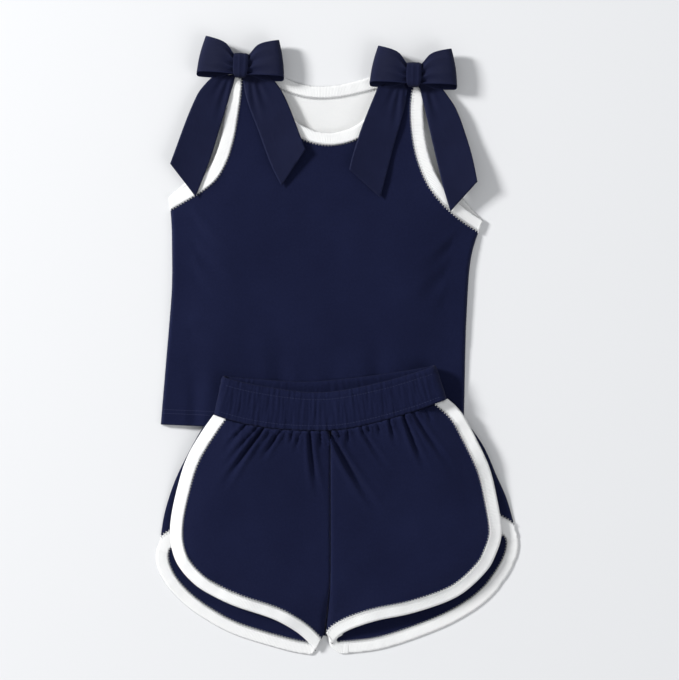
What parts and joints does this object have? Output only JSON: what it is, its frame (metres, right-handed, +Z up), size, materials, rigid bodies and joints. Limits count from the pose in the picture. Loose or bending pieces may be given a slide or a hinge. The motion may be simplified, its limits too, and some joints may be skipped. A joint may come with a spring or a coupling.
{
  "type": "cheer uniform",
  "caption": "Sleeveless knit top with a ribbon bow on each shoulder, and dolphin shorts with an elastic waistband and pale bound edges, laid flat as a set.",
  "frame": {"origin": "on the surface that the set lies on, under the middle of its bounding box", "axes": "+Z up off the surface, +Y from the shorts' hems towards the shoulders, +X to the right as seen from above"},
  "size_m": [0.3818, 0.6504, 0.0234],
  "materials": {
    "navy_knit": "matt jersey knit",
    "white_knit": "matt jersey knit",
    "white_binding": "matt ribbed knit",
    "navy_ribbon": "grosgrain ribbon",
    "navy_thread": "spun thread",
    "elastic_web": "woven elastic"
  },
  "bodies": {
    "top": {"top_front_panel": "navy_knit", "top_back_panel": "navy_knit", "top_back_lining": "white_knit", "front_neck_binding": "white_binding", "back_neck_binding": "white_binding", "left_armhole_front_binding": "white_binding", "left_armhole_back_binding": "white_binding", "right_armhole_front_binding": "white_binding", "right_armhole_back_binding": "white_binding", "left_bow_outer_loop": "navy_ribbon", "left_bow_inner_loop": "navy_ribbon", "left_bow_knot": "navy_ribbon", "left_bow_tack": "navy_thread", "right_bow_outer_loop": "navy_ribbon", "right_bow_inner_loop": "navy_ribbon", "right_bow_knot": "navy_ribbon", "right_bow_tack": "navy_thread"},
    "left_outer_tail": {"left_bow_outer_tail": "navy_ribbon"},
    "left_inner_tail": {"left_bow_inner_tail": "navy_ribbon"},
    "right_inner_tail": {"right_bow_inner_tail": "navy_ribbon"},
    "right_outer_tail": {"right_bow_outer_tail": "navy_ribbon"},
    "shorts": {"shorts_front_left": "navy_knit", "shorts_front_right": "navy_knit", "shorts_back_left": "navy_knit", "shorts_back_right": "navy_knit", "left_leg_front_binding": "white_binding", "left_leg_back_binding": "white_binding", "right_leg_front_binding": "white_binding", "right_leg_back_binding": "white_binding", "waistband_casing": "navy_knit", "waistband_elastic": "elastic_web"}
  },
  "joints": [
    {"name": "shorts_lift", "type": "slide", "parent": "top", "child": "shorts", "axis": [0, 0, 1], "range_m": [0, 0.15]},
    {"name": "left_outer_tail_lift", "type": "hinge", "parent": "top", "child": "left_outer_tail", "pos_m": [-0.1192, 0.2818, 0.0074], "axis": [-0.9844, 0.1759, 0], "range_deg": [0, 75]},
    {"name": "left_inner_tail_lift", "type": "hinge", "parent": "top", "child": "left_inner_tail", "pos_m": [-0.0827, 0.2798, 0.0075], "axis": [-1, 0, 0], "range_deg": [0, 75]},
    {"name": "right_inner_tail_lift", "type": "hinge", "parent": "top", "child": "right_inner_tail", "pos_m": [0.0583, 0.2716, 0.0074], "axis": [-0.9935, 0.114, 0], "range_deg": [0, 75]},
    {"name": "right_outer_tail_lift", "type": "hinge", "parent": "top", "child": "right_outer_tail", "pos_m": [0.098, 0.2711, 0.0073], "axis": [-0.9936, -0.1129, 0], "range_deg": [0, 75]}
  ]
}
